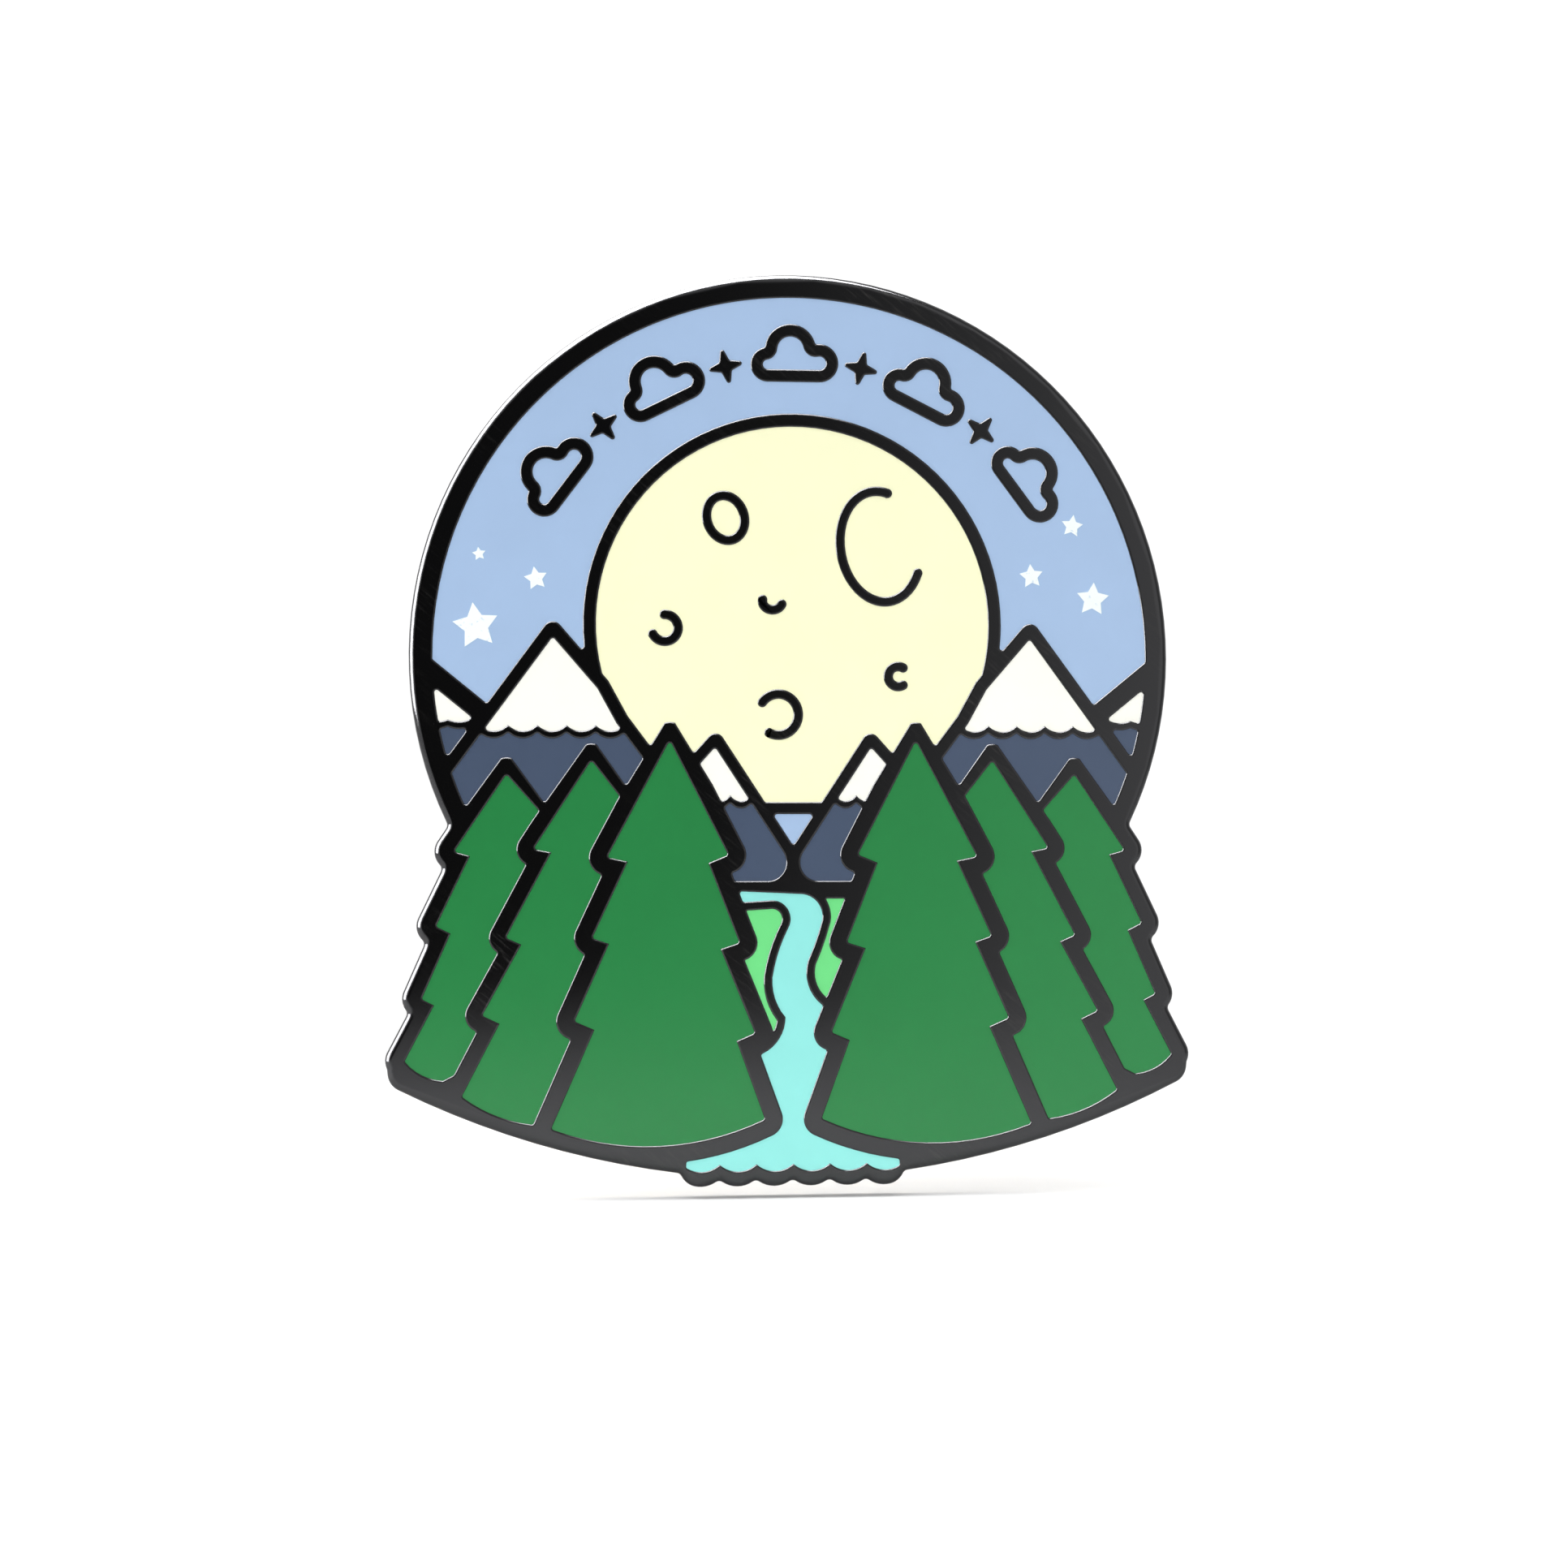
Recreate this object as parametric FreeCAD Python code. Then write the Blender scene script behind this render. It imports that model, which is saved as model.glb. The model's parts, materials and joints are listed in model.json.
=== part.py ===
"""Enamel pin: a moon over mountains, six pines and a river, with two posts and butterfly clutches.

Millimetres. The pin stands upright as it is worn: the enamelled face looks along -Y, +Z is up and
+X is to the viewer's right. The origin is on the plate's back face, on the middle line of the pin.

The picture is laid out flat, with x to the right, y up and z towards the viewer, and each shape of
it is a whole outline. What is in front takes its own outline, grown by the width of its metal line,
out of what is behind. Each cell that is left becomes a pocket in the plate and the enamel in it.
"""
import FreeCAD
import Part
import math
import os
from FreeCAD import Vector

# Plate and enamel
PLATE_THICKNESS = 1.5
POCKET_DEPTH = 0.6
ENAMEL_SINK = 0.04
INK_THICKNESS = 0.02
EDGE_ROUND = 0.25
CELL_CORNER = 0.1
GRASS_CORNER = 0.04
SMALLEST_CELL = 0.12

# Border: a round head over a skirt with a curved bottom edge
HEAD_RADIUS = 16.0
HEAD_Y = 3.1
HEAD_BORDER = 0.97
SKIRT_RADIUS = 36.55
SKIRT_Y = 17.8
SKIRT_SIDE = [(10.0, -4.0), (16.0, -12.5), (16.9, -13.9), (16.7, -16.0), (0.0, -20.0)]
CUSP_ROUND = 0.25
OUTLINE_ROUND = 0.8

# Widths of the metal lines
FRONT_TREE_LINE = 0.76
MIDDLE_TREE_LINE = 0.70
OUTER_TREE_LINE = 0.80
TIP_TAPER = 2.5
TIP_FLAT = 0.2
MOUNTAIN_LINE = 0.56
FAR_LINE = 0.85
NEAR_LINE = 0.50
MOON_LINE = 0.55
SNOW_LINE = 0.30
RIVER_LINE = 0.36
CRATER_LINE = 0.40
PEAK_SHARPNESS = 0.25
CLOUD_LINE = 0.52

# Moon
MOON_RADIUS = 8.27
MOON_Y = 4.47
MOON_FOOT = -2.96

# Pines on the right; each starts at its tip and runs down its outer side, tier by tier
FRONT_TREE = [
    (5.19, -0.38), (7.80, -5.25), (6.94, -5.43), (8.42, -8.60), (7.72, -8.84), (9.16, -12.05),
    (8.33, -12.41), (10.13, -16.51), ((4.94, -17.22), (1.20, -16.20)), (2.39, -12.93),
    (1.62, -12.60), (3.06, -9.09), (2.27, -8.83), (3.57, -5.50), (2.74, -5.16),
]
MIDDLE_TREE = [
    (8.46, -1.22), (10.86, -4.90), (10.12, -5.04), (12.00, -8.57), (11.36, -8.85),
    (12.98, -11.78), (12.26, -12.12), (13.82, -15.12), ((12.60, -15.85), (10.50, -16.35)),
    (8.00, -15.50), (6.00, -8.00), (6.00, -4.35),
]
OUTER_TREE = [
    (11.98, -1.80), (14.14, -5.00), (13.48, -5.18), (14.88, -8.08), (14.28, -8.38),
    (15.47, -11.08), (14.96, -11.34), (16.17, -13.64), ((15.40, -14.25), (14.60, -14.46)),
    (13.50, -13.90), (10.50, -13.00), (9.50, -8.00), (9.50, -4.58),
]

# Mountains on the right, from the peak down the outer slope
PEAK = [
    (10.06, 3.90), (15.30, -3.20), (15.30, -5.00), (5.40, -5.00), (5.40, -2.40),
    (6.36, -1.08), (7.42, 0.33), (8.21, 1.77),
]
FAR_SLOPE = [(16.50, 3.05), (16.50, -3.00), (12.00, -3.00), (12.00, -0.60)]
NEAR_PEAK = [
    (3.29, -0.67), (5.50, -3.10), (5.50, -6.26), (1.04, -6.26), ((0.34, -5.74), (0.42, -5.05)),
]
# Snow edge of each mountain: first x, pitch, number of scallops, height and depth
PEAK_SNOW = (5.86, 1.21, 7, 0.25, 0.26)
FAR_SNOW = (12.60, 0.90, 4, 0.47, 0.10)
NEAR_SNOW = (0.84, 0.91, 5, -2.66, 0.26)
VALLEY_SKY_TOP = -3.46
VALLEY_SKY_FOOT = -5.40

# River and the ground on both sides of it
RIVER_HEAD = [(-3.20, -6.64), (0.30, -6.80)]
RIVER_RIGHT_BANK = [
    ((0.98, -7.10), (1.22, -7.90)), ((0.96, -8.75), (0.62, -9.60)), ((0.66, -10.70), (1.29, -11.50)),
]
RIVER_LEFT_BANK = [
    (-1.70, -13.60), ((-0.66, -12.95), (-0.33, -11.95)), ((-0.76, -11.20), (-0.88, -10.30)),
    ((-0.62, -9.20), (-0.20, -8.20)), ((-0.22, -7.45), (-0.90, -7.06)), (-3.20, -7.20),
]
RIVER_SPREAD = 4.5
RIVER_SPREAD_TOP = -12.2
GROUND_TOP = -7.0
GROUND_FOOT = -13.4
LAP_COUNT = 6
LAP_PITCH = 1.55
LAP_DEPTH = 0.30
RIVER_FOOT = -18.08
LIP_FOOT = -18.72
LIP_TOP = -17.4

# Craters: centre, half width, half height, turn, start and end of the line, in degrees
OPEN_CRATERS = [
    (3.69, 7.76, 1.70, 2.33, 9, 68, 325),
    (-0.88, 5.44, 0.42, 0.36, 0, 170, 340),
    (-5.40, 4.30, 0.56, 0.56, 0, -153, 92),
    (4.44, 2.31, 0.42, 0.42, 0, 60, 300),
    (-0.63, 0.70, 0.84, 0.86, 0, -118, 144),
]
RING_CRATER = (-2.85, 8.90, 0.78, 0.95, 19)

# Line-drawn clouds and sparkles that alternate along the band of sky over the moon
BAND_RADIUS = 12.45
BAND_CLOUDS = 5
BAND_STEP = 26.5
CLOUD_PUFFS = [(-1.08, -0.22, 0.72), (-0.12, 0.40, 1.08), (1.10, -0.14, 0.80)]
CLOUD_BASE = (-1.08, -0.94, 1.10, 0.00)
SPARKLE_REACH = 0.60
SPARKLE_WAIST = 0.20

# Printed stars: centre, reach of the points and turn in degrees
LEFT_STARS = [(-13.11, 7.32, 0.29, 8), (-10.76, 6.32, 0.50, 10), (-13.24, 4.34, 0.98, 8)]
RIGHT_STARS = [(11.88, 8.69, 0.48, -8), (10.13, 6.56, 0.52, 6), (12.77, 5.60, 0.72, -4)]
STAR_POINTS = 5
STAR_WAIST = 0.52

# Posts, soldered into shallow seats in the back
POST_SPACING = 16.0
POST_Z = 0.0
POST_RADIUS = 0.55
POST_LENGTH = 8.0
POST_TIP = 1.3
TIP_RADIUS = 0.08
GROOVE_AT = 5.9
GROOVE_WIDTH = 0.5
GROOVE_DEPTH = 0.08
FLANGE_RADIUS = 1.5
FLANGE_THICKNESS = 0.4
SOLDER_WIDTH = 0.35
SEAT_DEPTH = 0.15

# Butterfly clutches, measured from the plate's back
FABRIC_GAP = 2.5
CUP_RADIUS = 5.7
CUP_HEIGHT = 2.5
SHEET = 0.3
LIP_WIDTH = 0.8
HUB_CLEARANCE = 0.2
FIT_CLEARANCE = 0.05
JAW_CLEARANCE = 0.02
JAW_GAP = 0.1
WING_SHEET = 0.4
WING_NECK = 3.6
WING_SPAN = 7.0
WING_HEIGHT = 3.4
WING_LEAN = 20.5
WING_CURL = 1.1
WING_CURL_RISE = 0.3
WING_CORNER = 1.2
PIVOT_X = 3.6
PIVOT_BEAD = 0.26
FOOT_DROP = 0.77
SLOT_CLEARANCE = 0.05
SPRING_SHEET = 0.2
SPRING_CLEARANCE = 0.14
SPRING_HEIGHT = 0.4
SPRING_DROP = 0.47

FAR_OUT = 30.0
SIDES = {"left": -1, "right": 1}
UP = Vector(0, 0, 1)
ACROSS = Vector(1, 0, 0)
ORIGIN = Vector(0, 0, 0)


def region(steps, side=1):
    """Flat face inside a closed outline. A step is a corner, or an arc as (point on it, end)."""
    def place(xy):
        return Vector(side * xy[0], xy[1], 0)

    edges = []
    here = place(steps[0])
    for step in steps[1:] + steps[:1]:
        if isinstance(step[0], tuple):
            end = place(step[1])
            edges.append(Part.Arc(here, place(step[0]), end).toShape())
        else:
            end = place(step)
            edges.append(Part.makeLine(here, end))
        here = end
    return Part.Face(Part.Wire(edges))


def disc(x, y, radius):
    return Part.Face(Part.Wire([Part.Circle(Vector(x, y, 0), UP, radius).toShape()]))


def box_face(x0, y0, x1, y1):
    return region([(x0, y0), (x1, y0), (x1, y1), (x0, y1)])


def faces_of(shape):
    """The faces of a flat shape, largest first, without slivers."""
    faces = [face for face in shape.Faces if face.Area > SMALLEST_CELL]
    return sorted(faces, key=lambda face: -face.Area)


def grown(shape, width):
    return shape.makeOffset2D(width, join=0)


def pointed(shape, width):
    """Grown like the others, but with a sharper corner at a peak."""
    return grown(shape.makeOffset2D(width * PEAK_SHARPNESS, join=2), width * (1 - PEAK_SHARPNESS))


def tree_line(steps, side, width):
    """The metal round a pine, narrower beside its tip than round its tiers."""
    tip_x, tip_y = steps[0]
    shoulder_x, shoulder_y = steps[1]
    lean = (shoulder_x - tip_x) / (tip_y - shoulder_y)
    foot = tip_y - TIP_TAPER
    half = lean * TIP_TAPER + width * math.hypot(1, lean)
    top = tip_y + width
    point = [(tip_x - half, foot), (tip_x + half, foot), (tip_x + TIP_FLAT, top), (tip_x - TIP_FLAT, top)]
    allowed = joined([box_face(-FAR_OUT, -FAR_OUT, FAR_OUT, foot), region(point, side)])
    return faces_of(grown(region(steps, side), width).common(allowed))[0]


def joined(shapes):
    """One flat face over all the shapes, which overlap."""
    slabs = [shape.extrude(UP) for shape in shapes]
    body = slabs[0].multiFuse(slabs[1:]).removeSplitter()
    return faces_of(Part.makeCompound([face for face in body.Faces if face.BoundBox.ZMax < 0.5]))[0]


def behind(shape, *front, corner=CELL_CORNER):
    """What is left of a shape behind others: its largest face, with its corners rounded."""
    for other in front:
        shape = shape.cut(other)
    face = faces_of(shape)[0]
    return faces_of(grown(grown(face, -corner), corner))[0]


def scallops(first, pitch, count, height, depth):
    """Arcs that hang between evenly spaced points, from left to right."""
    steps = [(first, height)]
    for i in range(count):
        middle = first + (i + 0.5) * pitch
        steps.append(((middle, height - depth), (middle + pitch / 2, height)))
    return steps


def beyond(edge, height, side=1):
    """The region between a scalloped edge, run out level at both ends, and a height."""
    level = edge[0][1]
    ends = [(FAR_OUT, level), (FAR_OUT, height), (-FAR_OUT, height), (-FAR_OUT, level)]
    return region(edge + ends, side)


def mountain(steps, snow, side, *front):
    """The snow cap and the rock under it, with a metal line between them."""
    body = region(steps, side)
    first, pitch, count, height, depth = snow
    cap_edge = scallops(first, pitch, count, height, depth)
    rock_edge = scallops(first, pitch, count, height - SNOW_LINE, depth)
    cap = behind(body.common(beyond(cap_edge, FAR_OUT, side)), *front)
    rock = behind(body.common(beyond(rock_edge, -FAR_OUT, side)), *front)
    return cap, rock


def laps(height):
    return scallops(-LAP_COUNT * LAP_PITCH / 2, LAP_PITCH, LAP_COUNT, height, LAP_DEPTH)


def river_shape():
    """The stream between its banks, and its foot that spreads out over a scalloped edge."""
    right = [(RIVER_SPREAD, RIVER_SPREAD_TOP), (RIVER_SPREAD, LIP_FOOT)]
    left = [(-RIVER_SPREAD, LIP_FOOT), (-RIVER_SPREAD, RIVER_LEFT_BANK[0][1])]
    water = region(RIVER_HEAD + RIVER_RIGHT_BANK + right + left + RIVER_LEFT_BANK)
    return water.common(beyond(laps(RIVER_FOOT), FAR_OUT)).Faces[0]


def oval(half_width, half_height):
    """Face of an ellipse about the origin, whichever way it is longer."""
    if half_width >= half_height:
        curve = Part.Ellipse(Vector(half_width, 0, 0), Vector(0, half_height, 0), ORIGIN)
    else:
        curve = Part.Ellipse(Vector(0, half_height, 0), Vector(-half_width, 0, 0), ORIGIN)
    return Part.Face(Part.Wire([curve.toShape()]))


def turned(shape, x, y, degrees):
    shape.rotate(ORIGIN, UP, degrees)
    shape.translate(Vector(x, y, 0))
    return shape


def open_crater(x, y, half_width, half_height, turn, start, end):
    """A curved line with round ends: part of an oval ring, cut by the fan that it spans."""
    half = CRATER_LINE / 2
    ring = oval(half_width + half, half_height + half).cut(oval(half_width - half, half_height - half))

    def at(degrees, reach=1):
        angle = math.radians(degrees)
        return reach * half_width * math.cos(angle), reach * half_height * math.sin(angle)

    fan = [(0, 0)] + [at(start + i * (end - start) / 4, 3) for i in range(5)]
    line = ring.common(region(fan))
    ends = [disc(*at(start), half), disc(*at(end), half)]
    return turned(joined([line] + ends), x, y, turn)


def ring_crater():
    """The outside and the inside of the closed crater's line."""
    x, y, half_width, half_height, turn = RING_CRATER
    half = CRATER_LINE / 2
    outside = turned(oval(half_width + half, half_height + half), x, y, turn)
    inside = turned(oval(half_width - half, half_height - half), x, y, turn)
    return outside, inside


def on_band(shape, degrees):
    """Stand a shape on the band of sky, turned clockwise from the top of the head."""
    shape.translate(Vector(0, BAND_RADIUS, 0))
    shape.rotate(ORIGIN, UP, -degrees)
    shape.translate(Vector(0, HEAD_Y, 0))
    return shape


def cloud():
    puffs = [disc(*puff) for puff in CLOUD_PUFFS]
    return joined(puffs + [box_face(*CLOUD_BASE)])


def sparkle():
    steps = []
    for quarter in range(4):
        along = math.radians(90 * quarter)
        turn = along + math.radians(45)
        tip = (SPARKLE_REACH * math.cos(along), SPARKLE_REACH * math.sin(along))
        waist = (SPARKLE_WAIST * math.cos(turn), SPARKLE_WAIST * math.sin(turn))
        steps += [tip, waist]
    return grown(region(steps), CELL_CORNER)


def star(x, y, reach, turn):
    steps = []
    for i in range(2 * STAR_POINTS):
        radius = reach if i % 2 == 0 else reach * STAR_WAIST
        angle = math.radians(90 + turn + i * 180 / STAR_POINTS)
        steps.append((x + radius * math.cos(angle), y + radius * math.sin(angle)))
    return region(steps)


def make_cells():
    """Every enamel cell of the picture, by node name."""
    cells = {}
    sky_disc = disc(0, HEAD_Y, HEAD_RADIUS - HEAD_BORDER)
    moon_disc = disc(0, MOON_Y, MOON_RADIUS)
    in_front = []
    slopes = []
    near_slopes = []
    for name, side in SIDES.items():
        front = region(FRONT_TREE, side)
        middle = region(MIDDLE_TREE, side)
        outer = region(OUTER_TREE, side)
        front_line = tree_line(FRONT_TREE, side, FRONT_TREE_LINE)
        middle_line = tree_line(MIDDLE_TREE, side, MIDDLE_TREE_LINE)
        outer_line = tree_line(OUTER_TREE, side, MIDDLE_TREE_LINE)
        trees = [front_line, middle_line, outer_line]
        peak_line = pointed(region(PEAK, side), MOUNTAIN_LINE)
        far_line = grown(region(FAR_SLOPE, side), FAR_LINE)
        near_line = pointed(region(NEAR_PEAK, side), NEAR_LINE)
        in_front += trees
        slopes += [peak_line, far_line]
        near_slopes += [near_line]
        cells[name + "_front_tree"] = behind(front)
        cells[name + "_middle_tree"] = behind(middle, front_line)
        cells[name + "_outer_tree"] = behind(outer, front_line, middle_line)
        cap, rock = mountain(PEAK, PEAK_SNOW, side, grown(sky_disc, 5).cut(sky_disc), *trees)
        cells[name + "_peak_snow"] = cap
        cells[name + "_peak_rock"] = rock
        cap, rock = mountain(FAR_SLOPE, FAR_SNOW, side, grown(sky_disc, 5).cut(sky_disc), peak_line)
        cells[name + "_far_snow"] = cap
        cells[name + "_far_rock"] = rock
        cap, rock = mountain(NEAR_PEAK, NEAR_SNOW, side, front_line)
        cells[name + "_near_snow"] = cap
        cells[name + "_near_rock"] = rock

    river = river_shape()
    river_line = grown(river, RIVER_LINE)
    cells["river"] = behind(river, *in_front)
    ground = box_face(-RIVER_SPREAD, GROUND_FOOT, RIVER_SPREAD, GROUND_TOP)
    for name, side in SIDES.items():
        half = ground.common(box_face(min(0, 9 * side), -20, max(0, 9 * side), 0))
        cells[name + "_grass"] = behind(half, river_line, *in_front, corner=GRASS_CORNER)

    valley = box_face(-2, VALLEY_SKY_FOOT, 2, VALLEY_SKY_TOP)
    cells["valley_sky"] = behind(valley, *near_slopes)

    ring, ring_hole = ring_crater()
    craters = [open_crater(*crater) for crater in OPEN_CRATERS]
    moon = moon_disc.common(box_face(-9, MOON_FOOT, 9, 20))
    moon = behind(moon, *(near_slopes + slopes + in_front))
    cells["moon"] = faces_of(moon.cut(Part.makeCompound(craters + [ring])))[0]
    cells["crater_floor"] = ring_hole

    marks = []
    for i in range(BAND_CLOUDS):
        degrees = (i - (BAND_CLOUDS - 1) / 2) * BAND_STEP
        shape = cloud()
        marks.append(on_band(shape.copy(), degrees))
        cells["cloud_%d" % (i + 1)] = on_band(grown(shape, -CLOUD_LINE), degrees)
        if i:
            marks.append(on_band(sparkle(), degrees - BAND_STEP / 2))
    moon_line = grown(moon_disc, MOON_LINE)
    lower = box_face(-20, -20, 20, -1)
    cells["sky"] = behind(sky_disc, moon_line, lower, *(slopes + marks + in_front))
    return cells


def make_outline():
    """The plate's outline: the head, the skirt, the outer pines and the river's lip."""
    skirt = disc(0, SKIRT_Y, SKIRT_RADIUS)
    side = SKIRT_SIDE + [(-x, y) for x, y in reversed(SKIRT_SIDE[:-1])]
    edge = laps(LIP_FOOT)
    lip = region(edge + [(edge[-1][1][0], LIP_TOP), (edge[0][0], LIP_TOP)])
    shapes = [disc(0, HEAD_Y, HEAD_RADIUS), skirt.common(region(side)).Faces[0], lip]
    shapes += [grown(region(OUTER_TREE, sign), OUTER_TREE_LINE) for sign in SIDES.values()]
    face = Part.Face(joined(shapes).OuterWire)
    face = grown(grown(face, CUSP_ROUND), -CUSP_ROUND)
    face = grown(grown(face, -OUTLINE_ROUND), OUTLINE_ROUND)
    return faces_of(face)[0]


def slab(face, bottom, top):
    """A flat face pulled out into a plate between two heights."""
    solid = face.extrude(Vector(0, 0, top - bottom)).Solids[0]
    solid.translate(Vector(0, 0, bottom))
    if solid.Volume < 0:
        solid.reverse()
    return solid


def upright(shape):
    """Stand the flat picture up, facing -Y."""
    shape.rotate(ORIGIN, ACROSS, 90)
    return shape


def make_plate(outline, cells):
    plate = slab(outline, 0, PLATE_THICKNESS)
    rim = [edge for edge in plate.Edges
           if all(abs(vertex.Z - PLATE_THICKNESS) < 1e-6 for vertex in edge.Vertexes)]
    plate = plate.makeFillet(EDGE_ROUND, rim)
    floor = PLATE_THICKNESS - POCKET_DEPTH
    pockets = [slab(cell, floor, PLATE_THICKNESS + 1) for cell in cells.values()]
    seats = [slab(disc(side * POST_SPACING / 2, POST_Z, FLANGE_RADIUS + SOLDER_WIDTH), -1, SEAT_DEPTH)
             for side in SIDES.values()]
    return plate.cut(Part.makeCompound(pockets + seats))


def spun(profile):
    """A solid of revolution about the post's axis, from (radius, distance behind the plate)."""
    points = [Vector(radius, 0, along) for radius, along in profile]
    face = Part.Face(Part.makePolygon(points + points[:1]))
    return face.revolve(ORIGIN, UP, 360)


def make_post():
    base = FLANGE_THICKNESS - SEAT_DEPTH
    groove = POST_RADIUS - GROOVE_DEPTH
    return spun([
        (0, -SEAT_DEPTH), (FLANGE_RADIUS, -SEAT_DEPTH), (FLANGE_RADIUS, base), (POST_RADIUS, base),
        (POST_RADIUS, GROOVE_AT), (groove, GROOVE_AT + GROOVE_WIDTH / 4),
        (groove, GROOVE_AT + GROOVE_WIDTH * 3 / 4), (POST_RADIUS, GROOVE_AT + GROOVE_WIDTH),
        (POST_RADIUS, POST_LENGTH - POST_TIP), (TIP_RADIUS, POST_LENGTH), (0, POST_LENGTH)])


def make_solder():
    base = FLANGE_THICKNESS - SEAT_DEPTH
    outside = FLANGE_RADIUS + SOLDER_WIDTH
    return spun([(FLANGE_RADIUS, -SEAT_DEPTH), (outside, -SEAT_DEPTH), (outside, 0),
                 (FLANGE_RADIUS, base)])


def hub_radius():
    return POST_RADIUS + HUB_CLEARANCE


def make_cup():
    """The dish against the cloth, with its rim curled in over the cover."""
    front = FABRIC_GAP
    back = FABRIC_GAP + CUP_HEIGHT
    inside = CUP_RADIUS - SHEET
    return spun([
        (hub_radius(), front), (CUP_RADIUS, front), (CUP_RADIUS, back),
        (CUP_RADIUS - LIP_WIDTH, back), (CUP_RADIUS - LIP_WIDTH, back - SHEET),
        (inside, back - SHEET), (inside, front + SHEET), (hub_radius(), front + SHEET)])


def cover_top():
    return FABRIC_GAP + CUP_HEIGHT - SHEET


def slot_half():
    """Half the slot's width: the leaning wing, as thick as it is where it passes the cover."""
    lean = math.radians(WING_LEAN)
    return (WING_SHEET / math.cos(lean) + SHEET * math.tan(lean)) / 2 + SLOT_CLEARANCE


def make_cover():
    """The inner shell that holds the wings down, with a slot for each of them."""
    top = cover_top()
    outside = CUP_RADIUS - SHEET - FIT_CLEARANCE
    inside = outside - SHEET
    shell = spun([
        (hub_radius(), top), (outside, top), (outside, FABRIC_GAP + SHEET),
        (inside, FABRIC_GAP + SHEET), (inside, top - SHEET), (hub_radius(), top - SHEET)])
    half = slot_half()
    length = WING_NECK + 2 * SLOT_CLEARANCE
    slots = [Part.makeBox(2 * half, length, 1, Vector(x - half, -length / 2, top - SHEET / 2 - 0.5))
             for x in (-PIVOT_X, PIVOT_X)]
    return shell.cut(Part.makeCompound(slots))


def pivot_height():
    return cover_top() - SHEET / 2


def wing_profile():
    """Centre line of a wing, from its jaw at the post to the curl of its finger tab."""
    lean = math.tan(math.radians(WING_LEAN))
    pivot = pivot_height()
    top = pivot + WING_HEIGHT
    tab = PIVOT_X + WING_HEIGHT * lean
    return [
        Vector(JAW_GAP, 0, pivot - FOOT_DROP),
        Vector(PIVOT_X - FOOT_DROP * lean, 0, pivot - FOOT_DROP),
        Vector(tab, 0, top), Vector(tab + WING_CURL, 0, top + WING_CURL_RISE)]


def make_wing(sign):
    """A sheet lever: its foot grips the post and its tab is squeezed.

    The bead across its neck rocks in the cover's slot.
    """
    line = Part.makePolygon(wing_profile())
    strip = line.makeOffset2D(WING_SHEET / 2, join=2, fill=False, openResult=True)
    other = line.makeOffset2D(-WING_SHEET / 2, join=2, fill=False, openResult=True)
    ring = [vertex.Point for vertex in strip.OrderedVertexes]
    back = [vertex.Point for vertex in other.OrderedVertexes]
    face = Part.Face(Part.makePolygon(ring + back[::-1] + ring[:1]))
    sheet = face.extrude(Vector(0, WING_SPAN, 0))
    sheet.translate(Vector(0, -WING_SPAN / 2, 0))
    clear = FABRIC_GAP + CUP_HEIGHT + 2 * SLOT_CLEARANCE
    top = pivot_height() + WING_HEIGHT + WING_CURL_RISE + WING_SHEET
    neck = WING_NECK / 2
    span = WING_SPAN / 2
    outline = region([
        (-neck, FABRIC_GAP), (neck, FABRIC_GAP), (neck, clear), (span, clear + (span - neck) / 2),
        (span, top - WING_CORNER),
        ((span - 0.3 * WING_CORNER, top - 0.3 * WING_CORNER), (span - WING_CORNER, top)),
        (WING_CORNER - span, top),
        ((0.3 * WING_CORNER - span, top - 0.3 * WING_CORNER), (-span, top - WING_CORNER)),
        (-span, clear + (span - neck) / 2), (-neck, clear)])
    outline.rotate(ORIGIN, Vector(1, 1, 1), 120)
    wing = sheet.common(outline.extrude(Vector(3 * CUP_RADIUS, 0, 0)))
    bead = Part.makeCylinder(
        PIVOT_BEAD, WING_NECK, Vector(PIVOT_X, -neck, pivot_height()), Vector(0, 1, 0))
    wing = wing.fuse(bead)
    bite = Part.makeCylinder(POST_RADIUS + JAW_CLEARANCE, POST_LENGTH)
    wing = wing.cut(bite).Solids[0]
    if sign < 0:
        wing = wing.mirror(ORIGIN, ACROSS)
    return wing


def make_jaw_spring():
    """A leaf bent round both wing necks that closes the jaws on the post."""
    lean = math.radians(WING_LEAN)
    height = pivot_height() - SPRING_DROP
    level = height + SPRING_HEIGHT / 2
    leg = PIVOT_X - (pivot_height() - level) * math.tan(lean) + WING_SHEET / 2 / math.cos(lean)
    arm = leg + SPRING_CLEARANCE
    end = WING_NECK / 2
    inner = region([
        (arm, end), (arm, -end), ((0, -end - arm / 4), (-arm, -end)), (-arm, end)])
    outer = region([
        (arm + SPRING_SHEET, end), (arm + SPRING_SHEET, -end),
        ((0, -end - arm / 4 - SPRING_SHEET), (-arm - SPRING_SHEET, -end)), (-arm - SPRING_SHEET, end)])
    return slab(outer.cut(inner).Faces[0], height - SPRING_HEIGHT / 2, level)


def behind_plate(shape, side):
    """Turn a piece of hardware to point away from the back, on its post's axis."""
    shape.rotate(ORIGIN, ACROSS, -90)
    shape.translate(Vector(side * POST_SPACING / 2, 0, POST_Z))
    return shape


def save(name, shape):
    shape.exportStep("parts/%s.step" % name)


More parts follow.
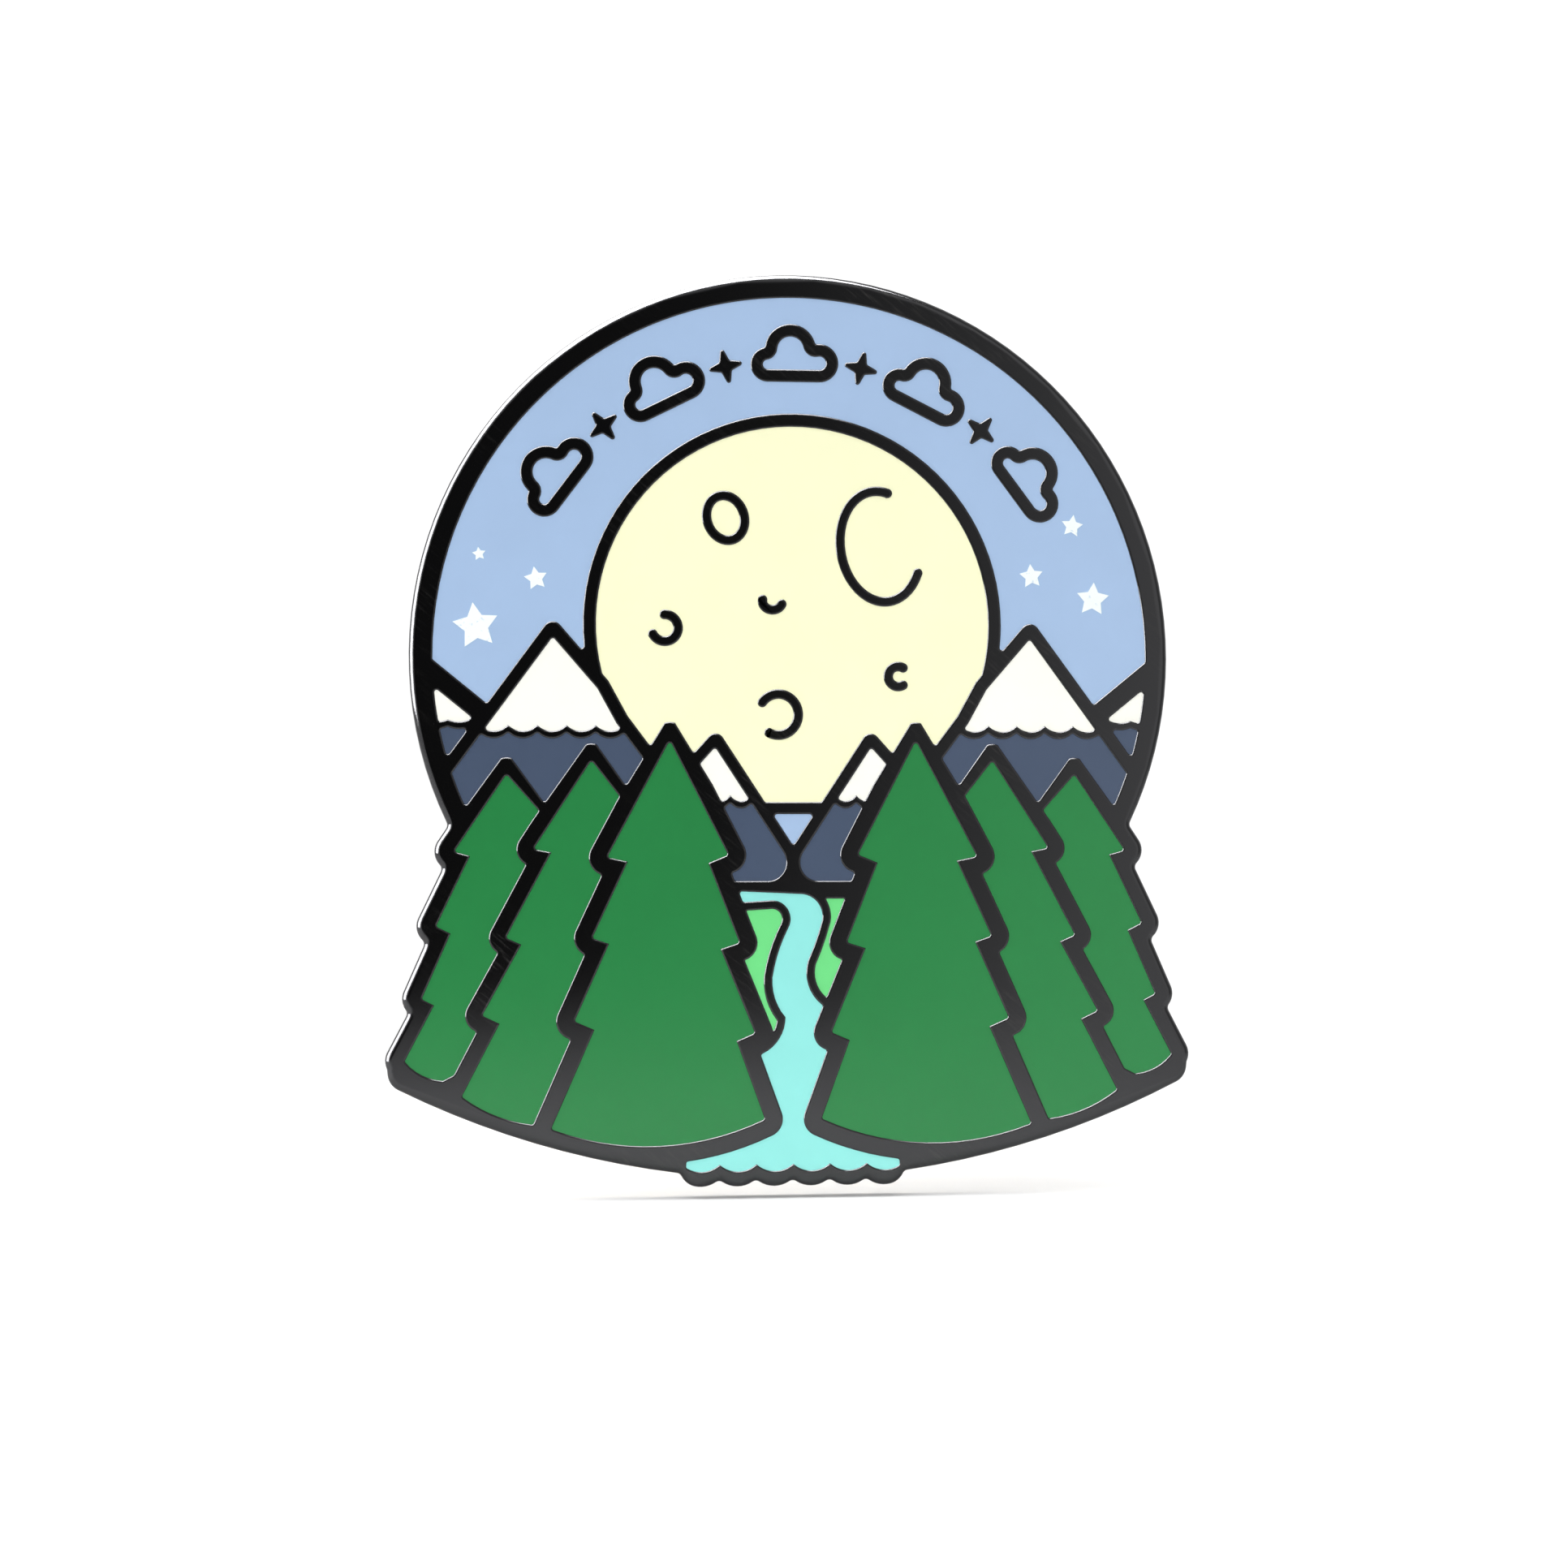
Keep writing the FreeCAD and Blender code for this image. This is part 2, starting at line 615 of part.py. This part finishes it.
def main():
    os.makedirs("parts", exist_ok=True)
    cells = make_cells()
    save("base_plate", upright(make_plate(make_outline(), cells)))
    floor = PLATE_THICKNESS - POCKET_DEPTH
    surface = PLATE_THICKNESS - ENAMEL_SINK
    for name, cell in cells.items():
        save(name + "_enamel", upright(slab(cell, floor, surface)))
    for side, stars in (("left", LEFT_STARS), ("right", RIGHT_STARS)):
        for i, place in enumerate(stars):
            ink = slab(star(*place), surface, surface + INK_THICKNESS)
            save("%s_star_%d" % (side, i + 1), upright(ink))
    for name, side in SIDES.items():
        hardware = {
            "post": make_post(), "solder": make_solder(), "clutch_cup": make_cup(),
            "clutch_cover": make_cover(), "outer_wing": make_wing(side),
            "inner_wing": make_wing(-side), "jaw_spring": make_jaw_spring()}
        for piece, shape in hardware.items():
            save(name + "_" + piece, behind_plate(shape, side))


main()
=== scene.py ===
"""Looks of the enamel pin: rounded metal edges, polished enamel, black nickel and brass.

Everything is in metres, in the frame of the CAD model: the enamelled face looks along -Y.
"""
import json
import math

import bpy
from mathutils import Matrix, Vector


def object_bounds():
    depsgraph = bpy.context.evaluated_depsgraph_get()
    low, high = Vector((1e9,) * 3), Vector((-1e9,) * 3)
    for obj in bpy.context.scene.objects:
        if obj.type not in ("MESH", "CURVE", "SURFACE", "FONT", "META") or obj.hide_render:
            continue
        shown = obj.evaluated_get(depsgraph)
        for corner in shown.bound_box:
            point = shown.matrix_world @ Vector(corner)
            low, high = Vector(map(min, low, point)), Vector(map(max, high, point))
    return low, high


MM = 0.001

# Widths of the rounded edges; the plate is rounded a little in its mesh and more in shading
PLATE_EDGE = 0.03 * MM
PLATE_SHADE_EDGE = 0.10 * MM
PLATE_FRONT = -1.45 * MM
PLATE_WELD = 0.005 * MM
WELD = 0.0005 * MM
EDGE_SEGMENTS = 3
FLAT_ANGLE = math.radians(0.5)
SHARP_ANGLE = math.radians(40)
HARDWARE_EDGE = 0.07 * MM
SHEET_EDGE = 0.10 * MM

# Camera: a little to the left of straight on, as far away as a close product shot is taken
CAMERA_DISTANCE = 150 * MM
CAMERA_YAW = math.radians(7.5)
FRAME_WIDTH = 66.2 * MM
AIM = Vector((-0.2, 0.0, -2.2)) * MM
SENSOR = 36.0

# Light that surfaces see, by its angle in degrees from a dark spot behind the camera
DARK_SPOT = Vector((-0.10, -1.0, 0.07)).normalized()
AROUND = (
    (0, 0.06), (13, 0.08), (17, 0.5), (20, 1.1), (32, 1.2), (50, 0.55), (80, 0.6), (100, 1.3),
    (180, 1.3))
BACKDROP = 1.1
FLOOR_RADIUS = 150 * MM
REACH = 250 * MM


def shader(name, colour, metallic=0.0, roughness=0.3, **sockets):
    """A Principled material; the extra sockets are set on the shader itself."""
    material = bpy.data.materials.new(name)
    material.use_nodes = True
    nodes = material.node_tree.nodes
    principled = nodes["Principled BSDF"]
    principled.inputs["Base Color"].default_value = (*colour, 1)
    principled.inputs["Metallic"].default_value = metallic
    principled.inputs["Roughness"].default_value = roughness
    for socket, value in sockets.items():
        principled.inputs[socket.replace("_", " ")].default_value = value
    return material, nodes, material.node_tree.links, principled


def noise(nodes, links, scale, detail=4.0, stretch=(1, 1, 1), lean=0.0):
    """Noise in the object's own space; scale counts features per millimetre.

    The space is first leant about Y, so that a stretched grain can run at a slant.
    """
    place = nodes.new("ShaderNodeTexCoord")
    leant = nodes.new("ShaderNodeMapping")
    leant.inputs["Rotation"].default_value = (0, math.radians(lean), 0)
    scaled = nodes.new("ShaderNodeMapping")
    scaled.inputs["Scale"].default_value = [s * scale / MM for s in stretch]
    texture = nodes.new("ShaderNodeTexNoise")
    texture.inputs["Scale"].default_value = 1.0
    texture.inputs["Detail"].default_value = detail
    links.new(place.outputs["Object"], leant.inputs["Vector"])
    links.new(leant.outputs["Vector"], scaled.inputs["Vector"])
    links.new(scaled.outputs["Vector"], texture.inputs["Vector"])
    return texture.outputs["Fac"]


def ranged(nodes, links, value, low, high, start=0.0, end=1.0):
    """Map a value between start and end onto low to high."""
    node = nodes.new("ShaderNodeMapRange")
    node.inputs["From Min"].default_value = start
    node.inputs["From Max"].default_value = end
    node.inputs["To Min"].default_value = low
    node.inputs["To Max"].default_value = high
    links.new(value, node.inputs["Value"])
    return node.outputs["Result"]


def blended(nodes, links, factor, first, second):
    """A colour between two others."""
    mix = nodes.new("ShaderNodeMix")
    mix.data_type = "RGBA"
    mix.inputs["A"].default_value = (*first, 1)
    mix.inputs["B"].default_value = (*second, 1)
    links.new(factor, mix.inputs["Factor"])
    return mix.outputs["Result"]


def bumped(nodes, links, principled, height, depth, edge=0.0):
    """Relief of a real depth, in metres, on edges that look rounded to a radius."""
    bump = nodes.new("ShaderNodeBump")
    bump.inputs["Strength"].default_value = 1.0
    bump.inputs["Distance"].default_value = depth
    links.new(height, bump.inputs["Height"])
    if edge:
        rounded = nodes.new("ShaderNodeBevel")
        rounded.samples = 8
        rounded.inputs["Radius"].default_value = edge
        links.new(rounded.outputs["Normal"], bump.inputs["Normal"])
    links.new(bump.outputs["Normal"], principled.inputs["Normal"])


def linear(red, green, blue):
    """A display colour, 0 to 255, as linear light."""
    def one(value):
        value /= 255
        return value / 12.92 if value <= 0.04045 else ((value + 0.055) / 1.055) ** 2.4
    return one(red), one(green), one(blue)


def enamel(name, colour):
    """Fired enamel, ground flat and polished: even colour, faint cloudiness, a soft gloss."""
    material, nodes, links, principled = shader(
        name, colour, roughness=0.2, Specular_IOR_Level=0.25,
        Coat_Weight=0.12, Coat_Roughness=0.05)
    cloud = ranged(nodes, links, noise(nodes, links, 0.35, 3), 0, 1, 0.35, 0.65)
    darker = tuple(c * 0.975 for c in colour)
    links.new(blended(nodes, links, cloud, darker, colour), principled.inputs["Base Color"])
    bumped(nodes, links, principled, noise(nodes, links, 1.2, 2), 0.0006 * MM)
    return material


def black_nickel():
    """Polished black nickel with the fine slanting scratches of the polishing belt."""
    material, nodes, links, principled = shader(
        "black_nickel", (0.047, 0.047, 0.049), metallic=1.0, roughness=0.1)
    scratch = noise(nodes, links, 11.0, 3, stretch=(1, 1, 0.10), lean=50)
    lines = ranged(nodes, links, scratch, 0, 1, 0.52, 0.78)
    patch = ranged(nodes, links, noise(nodes, links, 0.15, 2), 0, 1, 0.5, 0.65)
    worn = nodes.new("ShaderNodeMath")
    worn.operation = "MULTIPLY"
    links.new(lines, worn.inputs[0])
    links.new(patch, worn.inputs[1])
    links.new(ranged(nodes, links, worn.outputs[0], 0.09, 0.2), principled.inputs["Roughness"])
    tint = blended(nodes, links, worn.outputs[0], (0.047, 0.047, 0.049), (0.075, 0.073, 0.071))
    links.new(tint, principled.inputs["Base Color"])
    bumped(nodes, links, principled, scratch, 0.0001 * MM, PLATE_SHADE_EDGE)
    return material


def metal(name, colour, roughness):
    material, nodes, links, principled = shader(name, colour, metallic=1.0, roughness=roughness)
    grain = noise(nodes, links, 4.0, 5, stretch=(1, 0.15, 1))
    links.new(ranged(nodes, links, grain, roughness * 0.7, roughness * 1.5),
              principled.inputs["Roughness"])
    tarnish = ranged(nodes, links, noise(nodes, links, 0.3, 4), 0, 1, 0.4, 0.75)
    links.new(blended(nodes, links, tarnish, colour, tuple(c * 0.8 for c in colour)),
              principled.inputs["Base Color"])
    bumped(nodes, links, principled, grain, 0.0012 * MM)
    return material


def ink():
    """Screen-printed white, a little thin, so that the sky shows through in specks."""
    material, nodes, links, principled = shader("star_ink", linear(228, 238, 238), roughness=0.45)
    specks = ranged(nodes, links, noise(nodes, links, 7.0, 3), 0, 1, 0.63, 0.73)
    links.new(blended(nodes, links, specks, linear(240, 247, 245), linear(205, 222, 236)),
              principled.inputs["Base Color"])
    bumped(nodes, links, principled, noise(nodes, links, 9.0, 2), 0.002 * MM)
    return material


def make_materials():
    return {
        "black_nickel": black_nickel(),
        "sky_enamel": enamel("sky_enamel", linear(167, 193, 227)),
        "moon_enamel": enamel("moon_enamel", linear(254, 254, 213)),
        "snow_enamel": enamel("snow_enamel", linear(255, 255, 246)),
        "rock_enamel": enamel("rock_enamel", linear(71, 84, 107)),
        "pine_enamel": enamel("pine_enamel", linear(36, 128, 66)),
        "river_enamel": enamel("river_enamel", linear(147, 231, 225)),
        "grass_enamel": enamel("grass_enamel", linear(113, 222, 135)),
        "star_ink": ink(),
        "post_nickel": metal("post_nickel", (0.56, 0.54, 0.50), 0.22),
        "solder": metal("solder", (0.42, 0.42, 0.44), 0.42),
        "clutch_brass": metal("clutch_brass", (0.80, 0.62, 0.30), 0.2),
        "wing_brass": metal("wing_brass", (0.80, 0.62, 0.30), 0.2),
        "spring_steel": metal("spring_steel", (0.45, 0.45, 0.46), 0.25),
    }


def weigh_front_edges(node, face):
    """Mark the edges where the front ends: the importer splits the mesh at sharp edges."""
    uses = {}
    for polygon in node.data.polygons:
        for key in polygon.edge_keys:
            uses[key] = uses.get(key, 0) + 1
    weights = node.data.attributes.new("bevel_weight_edge", "FLOAT", "EDGE")
    for edge in node.data.edges:
        front = all(node.data.vertices[i].co.y < face for i in edge.vertices)
        open_edge = uses.get(tuple(sorted(edge.vertices))) == 1
        weights.data[edge.index].value = float(front and open_edge)


def round_edges(node, width, face=None):
    """Weld the mesh, merge its flat faces and round its sharp edges, or only its front's."""
    weld = node.modifiers.new("weld", "WELD")
    weld.merge_threshold = WELD
    merge = node.modifiers.new("merge", "DECIMATE")
    merge.decimate_type = "DISSOLVE"
    merge.angle_limit = FLAT_ANGLE
    bevel = node.modifiers.new("bevel", "BEVEL")
    bevel.width = width
    bevel.segments = EDGE_SEGMENTS
    bevel.limit_method = "ANGLE"
    bevel.angle_limit = SHARP_ANGLE
    if face is not None:
        weld.merge_threshold = PLATE_WELD
        weigh_front_edges(node, face)
        bevel.limit_method = "WEIGHT"
    bevel.use_clamp_overlap = False
    bevel.harden_normals = True


def dress(materials):
    """Give each node its material and its rounded edges."""
    slots = {entry["node"]: entry["material_slot"] for entry in frame["record"]["subparts"]}
    for name, node in frame["nodes"].items():
        slot = slots[name]
        node.data.materials.clear()
        node.data.materials.append(materials[slot])
        if slot == "black_nickel":
            round_edges(node, PLATE_EDGE, face=PLATE_FRONT)
        elif slot in ("clutch_brass", "wing_brass"):
            round_edges(node, SHEET_EDGE)
        elif not slot.endswith(("enamel", "ink")):
            round_edges(node, HARDWARE_EDGE)


def area_light(name, direction, size, radiance, diffuse=True):
    """A soft box REACH away in the given direction, aimed at the pin."""
    light = bpy.data.lights.new(name, "AREA")
    light.shape = "RECTANGLE"
    light.size = size[0] * MM
    light.size_y = size[1] * MM
    light.energy = radiance * math.pi * light.size * light.size_y
    lamp = bpy.data.objects.new(name, light)
    lamp.location = Vector(direction).normalized() * REACH
    lamp.rotation_euler = (-lamp.location).to_track_quat("-Z", "Y").to_euler()
    lamp.visible_diffuse = diffuse
    bpy.context.scene.collection.objects.link(lamp)


def make_world():
    """White to the camera; to surfaces, soft light all round except behind the camera."""
    world = bpy.data.worlds.new("studio")
    bpy.context.scene.world = world
    world.use_nodes = True
    nodes, links = world.node_tree.nodes, world.node_tree.links
    place = nodes.new("ShaderNodeTexCoord")
    dot = nodes.new("ShaderNodeVectorMath")
    dot.operation = "DOT_PRODUCT"
    dot.inputs[1].default_value = DARK_SPOT
    links.new(place.outputs["Generated"], dot.inputs[0])
    angle = nodes.new("ShaderNodeMath")
    angle.operation = "ARCCOSINE"
    links.new(dot.outputs["Value"], angle.inputs[0])
    ramp = nodes.new("ShaderNodeValToRGB")
    links.new(ranged(nodes, links, angle.outputs[0], 0, 1, 0, math.pi), ramp.inputs["Fac"])
    brightest = max(light for _, light in AROUND)
    stops = ramp.color_ramp.elements
    while len(stops) < len(AROUND):
        stops.new(0.5)
    for stop, (degrees, light) in zip(stops, AROUND):
        stop.position = degrees / 180
        stop.color = (light / brightest,) * 3 + (1,)
    paths = nodes.new("ShaderNodeLightPath")
    seen, felt = nodes["Background"], nodes.new("ShaderNodeBackground")
    seen.inputs["Color"].default_value = (1, 1, 1, 1)
    seen.inputs["Strength"].default_value = BACKDROP
    links.new(ramp.outputs["Color"], felt.inputs["Color"])
    felt.inputs["Strength"].default_value = brightest
    either = nodes.new("ShaderNodeMixShader")
    links.new(paths.outputs["Is Camera Ray"], either.inputs["Fac"])
    links.new(felt.outputs[0], either.inputs[1])
    links.new(seen.outputs[0], either.inputs[2])
    links.new(either.outputs[0], nodes["World Output"].inputs["Surface"])


def paper():
    """White paper that fades into the white surroundings well away from the pin."""
    material, nodes, links, principled = shader("floor", (0.9, 0.9, 0.9), roughness=0.8)
    place = nodes.new("ShaderNodeTexCoord")
    away = nodes.new("ShaderNodeVectorMath")
    away.operation = "LENGTH"
    links.new(place.outputs["Object"], away.inputs[0])
    there = ranged(nodes, links, away.outputs["Value"], 1, 0, FLOOR_RADIUS / 4, FLOOR_RADIUS)
    links.new(there, principled.inputs["Alpha"])
    return material


def make_studio(low):
    """Soft light from above, two glints that only polished metal shows, and a round floor."""
    make_world()
    area_light("key", (-0.25, -0.35, 1.0), (200, 200), 1.85)
    area_light("top_glint", (-0.25, -0.1, 1.0), (380, 260), 32.0, diffuse=False)
    area_light("left_glint", (-1.0, -0.3, 0.4), (240, 260), 24.0, diffuse=False)

    bpy.ops.mesh.primitive_circle_add(
        vertices=96, radius=FLOOR_RADIUS, fill_type="NGON", location=(0, 0, low - 0.5 * MM))
    floor = bpy.context.object
    floor.name = "floor"
    floor.data.materials.append(paper())


def make_camera():
    camera = bpy.data.cameras.new("camera")
    camera.sensor_width = SENSOR
    camera.lens = SENSOR * CAMERA_DISTANCE / FRAME_WIDTH
    camera.clip_start = 0.001
    eye = bpy.data.objects.new("camera", camera)
    back = Vector((-math.sin(CAMERA_YAW), -math.cos(CAMERA_YAW), 0))
    eye.location = AIM + back * CAMERA_DISTANCE
    eye.rotation_euler = (-back).to_track_quat("-Z", "Y").to_euler()
    bpy.context.scene.collection.objects.link(eye)
    bpy.context.scene.camera = eye
    bpy.context.scene.view_settings.view_transform = "Standard"


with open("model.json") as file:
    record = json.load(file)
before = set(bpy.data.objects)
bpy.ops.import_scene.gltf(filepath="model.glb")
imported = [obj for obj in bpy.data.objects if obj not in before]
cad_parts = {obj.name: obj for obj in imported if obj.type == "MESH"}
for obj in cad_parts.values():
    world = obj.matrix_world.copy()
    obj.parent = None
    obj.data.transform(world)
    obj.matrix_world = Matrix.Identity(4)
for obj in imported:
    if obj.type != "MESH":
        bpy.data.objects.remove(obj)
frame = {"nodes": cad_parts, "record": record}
cad_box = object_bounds()
dress(make_materials())
make_studio(cad_box[0][2])
make_camera()
